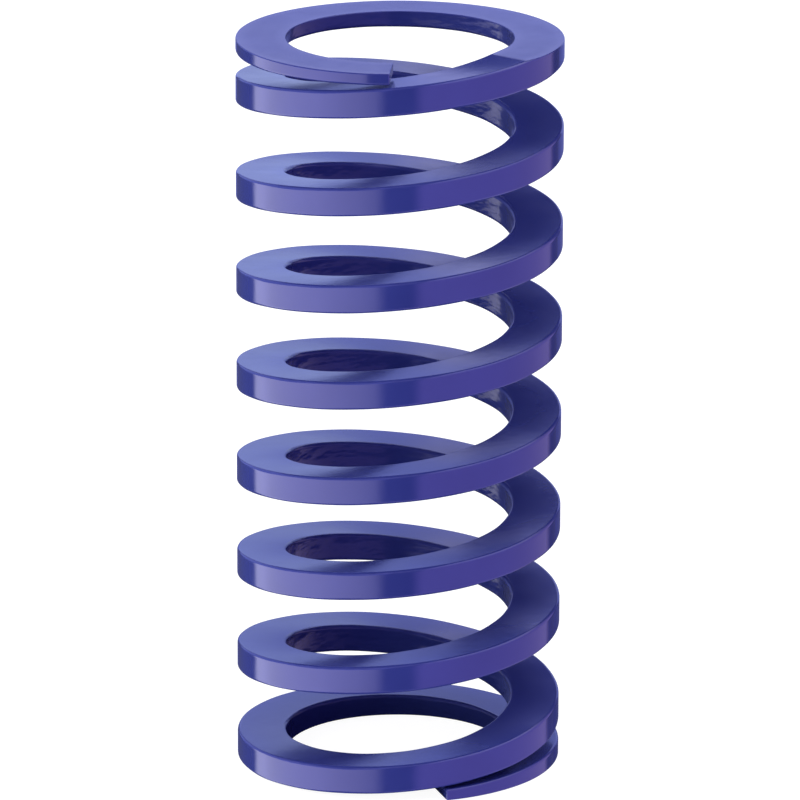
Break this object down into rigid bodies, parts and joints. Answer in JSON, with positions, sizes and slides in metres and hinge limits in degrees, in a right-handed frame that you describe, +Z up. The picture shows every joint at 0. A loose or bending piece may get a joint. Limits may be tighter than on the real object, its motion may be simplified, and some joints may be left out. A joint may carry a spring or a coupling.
{
  "type": "compression spring",
  "caption": "Helical compression spring of flat rectangular wire, right-hand wound, with closed and ground ends; it shortens along its axis.",
  "frame": {"origin": "on the spring's axis, in the plane of the bottom ground face", "axes": "+Z up along the spring's axis; the bottom tip of the wire is at -73 degrees from +X, beside -Y"},
  "size_m": [0.0394, 0.0394, 0.09],
  "materials": {
    "violet_blue_paint": "gloss paint, thin on the wire's edges and on the two ground faces"
  },
  "bodies": {
    "bottom_coil": {"bottom_coil_tip": "violet_blue_paint", "bottom_coil_right": "violet_blue_paint", "bottom_coil_back": "violet_blue_paint", "bottom_coil_left": "violet_blue_paint", "bottom_coil_front": "violet_blue_paint"},
    "coil_1_right": {"coil_1_right": "violet_blue_paint"},
    "coil_1_back": {"coil_1_back": "violet_blue_paint"},
    "coil_1_left": {"coil_1_left": "violet_blue_paint"},
    "coil_1_front": {"coil_1_front": "violet_blue_paint"},
    "coil_2_right": {"coil_2_right": "violet_blue_paint"},
    "coil_2_back": {"coil_2_back": "violet_blue_paint"},
    "coil_2_left": {"coil_2_left": "violet_blue_paint"},
    "coil_2_front": {"coil_2_front": "violet_blue_paint"},
    "coil_3_right": {"coil_3_right": "violet_blue_paint"},
    "coil_3_back": {"coil_3_back": "violet_blue_paint"},
    "coil_3_left": {"coil_3_left": "violet_blue_paint"},
    "coil_3_front": {"coil_3_front": "violet_blue_paint"},
    "coil_4_right": {"coil_4_right": "violet_blue_paint"},
    "coil_4_back": {"coil_4_back": "violet_blue_paint"},
    "coil_4_left": {"coil_4_left": "violet_blue_paint"},
    "coil_4_front": {"coil_4_front": "violet_blue_paint"},
    "coil_5_right": {"coil_5_right": "violet_blue_paint"},
    "coil_5_back": {"coil_5_back": "violet_blue_paint"},
    "coil_5_left": {"coil_5_left": "violet_blue_paint"},
    "coil_5_front": {"coil_5_front": "violet_blue_paint"},
    "coil_6_right": {"coil_6_right": "violet_blue_paint"},
    "coil_6_back": {"coil_6_back": "violet_blue_paint"},
    "coil_6_left": {"coil_6_left": "violet_blue_paint"},
    "coil_6_front": {"coil_6_front": "violet_blue_paint"},
    "coil_7_right": {"coil_7_right": "violet_blue_paint"},
    "coil_7_back": {"coil_7_back": "violet_blue_paint"},
    "coil_7_left": {"coil_7_left": "violet_blue_paint"},
    "top_coil": {"top_coil_front": "violet_blue_paint", "top_coil_right": "violet_blue_paint", "top_coil_back": "violet_blue_paint", "top_coil_left": "violet_blue_paint", "top_coil_tip": "violet_blue_paint"}
  },
  "joints": [
    {"name": "compression", "type": "slide", "parent": "bottom_coil", "child": "top_coil", "axis": [0, 0, -1], "range_m": [0, 0.045], "stiffness_N_per_m": 20000},
    {"name": "sink_coil_1_right", "type": "slide", "parent": "bottom_coil", "child": "coil_1_right", "axis": [0, 0, -1], "range_m": [0, 0.000933]},
    {"name": "sink_coil_1_back", "type": "slide", "parent": "bottom_coil", "child": "coil_1_back", "axis": [0, 0, -1], "range_m": [0, 0.0026]},
    {"name": "sink_coil_1_left", "type": "slide", "parent": "bottom_coil", "child": "coil_1_left", "axis": [0, 0, -1], "range_m": [0, 0.00427]},
    {"name": "sink_coil_1_front", "type": "slide", "parent": "bottom_coil", "child": "coil_1_front", "axis": [0, 0, -1], "range_m": [0, 0.00593]},
    {"name": "sink_coil_2_right", "type": "slide", "parent": "bottom_coil", "child": "coil_2_right", "axis": [0, 0, -1], "range_m": [0, 0.0076]},
    {"name": "sink_coil_2_back", "type": "slide", "parent": "bottom_coil", "child": "coil_2_back", "axis": [0, 0, -1], "range_m": [0, 0.00927]},
    {"name": "sink_coil_2_left", "type": "slide", "parent": "bottom_coil", "child": "coil_2_left", "axis": [0, 0, -1], "range_m": [0, 0.01093]},
    {"name": "sink_coil_2_front", "type": "slide", "parent": "bottom_coil", "child": "coil_2_front", "axis": [0, 0, -1], "range_m": [0, 0.0126]},
    {"name": "sink_coil_3_right", "type": "slide", "parent": "bottom_coil", "child": "coil_3_right", "axis": [0, 0, -1], "range_m": [0, 0.01427]},
    {"name": "sink_coil_3_back", "type": "slide", "parent": "bottom_coil", "child": "coil_3_back", "axis": [0, 0, -1], "range_m": [0, 0.01593]},
    {"name": "sink_coil_3_left", "type": "slide", "parent": "bottom_coil", "child": "coil_3_left", "axis": [0, 0, -1], "range_m": [0, 0.0176]},
    {"name": "sink_coil_3_front", "type": "slide", "parent": "bottom_coil", "child": "coil_3_front", "axis": [0, 0, -1], "range_m": [0, 0.01927]},
    {"name": "sink_coil_4_right", "type": "slide", "parent": "bottom_coil", "child": "coil_4_right", "axis": [0, 0, -1], "range_m": [0, 0.02093]},
    {"name": "sink_coil_4_back", "type": "slide", "parent": "bottom_coil", "child": "coil_4_back", "axis": [0, 0, -1], "range_m": [0, 0.0226]},
    {"name": "sink_coil_4_left", "type": "slide", "parent": "bottom_coil", "child": "coil_4_left", "axis": [0, 0, -1], "range_m": [0, 0.02427]},
    {"name": "sink_coil_4_front", "type": "slide", "parent": "bottom_coil", "child": "coil_4_front", "axis": [0, 0, -1], "range_m": [0, 0.02593]},
    {"name": "sink_coil_5_right", "type": "slide", "parent": "bottom_coil", "child": "coil_5_right", "axis": [0, 0, -1], "range_m": [0, 0.0276]},
    {"name": "sink_coil_5_back", "type": "slide", "parent": "bottom_coil", "child": "coil_5_back", "axis": [0, 0, -1], "range_m": [0, 0.02927]},
    {"name": "sink_coil_5_left", "type": "slide", "parent": "bottom_coil", "child": "coil_5_left", "axis": [0, 0, -1], "range_m": [0, 0.03093]},
    {"name": "sink_coil_5_front", "type": "slide", "parent": "bottom_coil", "child": "coil_5_front", "axis": [0, 0, -1], "range_m": [0, 0.0326]},
    {"name": "sink_coil_6_right", "type": "slide", "parent": "bottom_coil", "child": "coil_6_right", "axis": [0, 0, -1], "range_m": [0, 0.03427]},
    {"name": "sink_coil_6_back", "type": "slide", "parent": "bottom_coil", "child": "coil_6_back", "axis": [0, 0, -1], "range_m": [0, 0.03593]},
    {"name": "sink_coil_6_left", "type": "slide", "parent": "bottom_coil", "child": "coil_6_left", "axis": [0, 0, -1], "range_m": [0, 0.0376]},
    {"name": "sink_coil_6_front", "type": "slide", "parent": "bottom_coil", "child": "coil_6_front", "axis": [0, 0, -1], "range_m": [0, 0.03927]},
    {"name": "sink_coil_7_right", "type": "slide", "parent": "bottom_coil", "child": "coil_7_right", "axis": [0, 0, -1], "range_m": [0, 0.04093]},
    {"name": "sink_coil_7_back", "type": "slide", "parent": "bottom_coil", "child": "coil_7_back", "axis": [0, 0, -1], "range_m": [0, 0.0426]},
    {"name": "sink_coil_7_left", "type": "slide", "parent": "bottom_coil", "child": "coil_7_left", "axis": [0, 0, -1], "range_m": [0, 0.04427]}
  ],
  "couplings": [
    {"joint": "sink_coil_1_right", "follows": "compression", "ratio": 0.018519},
    {"joint": "sink_coil_1_back", "follows": "compression", "ratio": 0.055556},
    {"joint": "sink_coil_1_left", "follows": "compression", "ratio": 0.092593},
    {"joint": "sink_coil_1_front", "follows": "compression", "ratio": 0.12963},
    {"joint": "sink_coil_2_right", "follows": "compression", "ratio": 0.16667},
    {"joint": "sink_coil_2_back", "follows": "compression", "ratio": 0.2037},
    {"joint": "sink_coil_2_left", "follows": "compression", "ratio": 0.24074},
    {"joint": "sink_coil_2_front", "follows": "compression", "ratio": 0.27778},
    {"joint": "sink_coil_3_right", "follows": "compression", "ratio": 0.31482},
    {"joint": "sink_coil_3_back", "follows": "compression", "ratio": 0.35185},
    {"joint": "sink_coil_3_left", "follows": "compression", "ratio": 0.38889},
    {"joint": "sink_coil_3_front", "follows": "compression", "ratio": 0.42593},
    {"joint": "sink_coil_4_right", "follows": "compression", "ratio": 0.46296},
    {"joint": "sink_coil_4_back", "follows": "compression", "ratio": 0.5},
    {"joint": "sink_coil_4_left", "follows": "compression", "ratio": 0.53704},
    {"joint": "sink_coil_4_front", "follows": "compression", "ratio": 0.57407},
    {"joint": "sink_coil_5_right", "follows": "compression", "ratio": 0.61111},
    {"joint": "sink_coil_5_back", "follows": "compression", "ratio": 0.64815},
    {"joint": "sink_coil_5_left", "follows": "compression", "ratio": 0.68519},
    {"joint": "sink_coil_5_front", "follows": "compression", "ratio": 0.72222},
    {"joint": "sink_coil_6_right", "follows": "compression", "ratio": 0.75926},
    {"joint": "sink_coil_6_back", "follows": "compression", "ratio": 0.7963},
    {"joint": "sink_coil_6_left", "follows": "compression", "ratio": 0.83333},
    {"joint": "sink_coil_6_front", "follows": "compression", "ratio": 0.87037},
    {"joint": "sink_coil_7_right", "follows": "compression", "ratio": 0.90741},
    {"joint": "sink_coil_7_back", "follows": "compression", "ratio": 0.94444},
    {"joint": "sink_coil_7_left", "follows": "compression", "ratio": 0.98148}
  ]
}
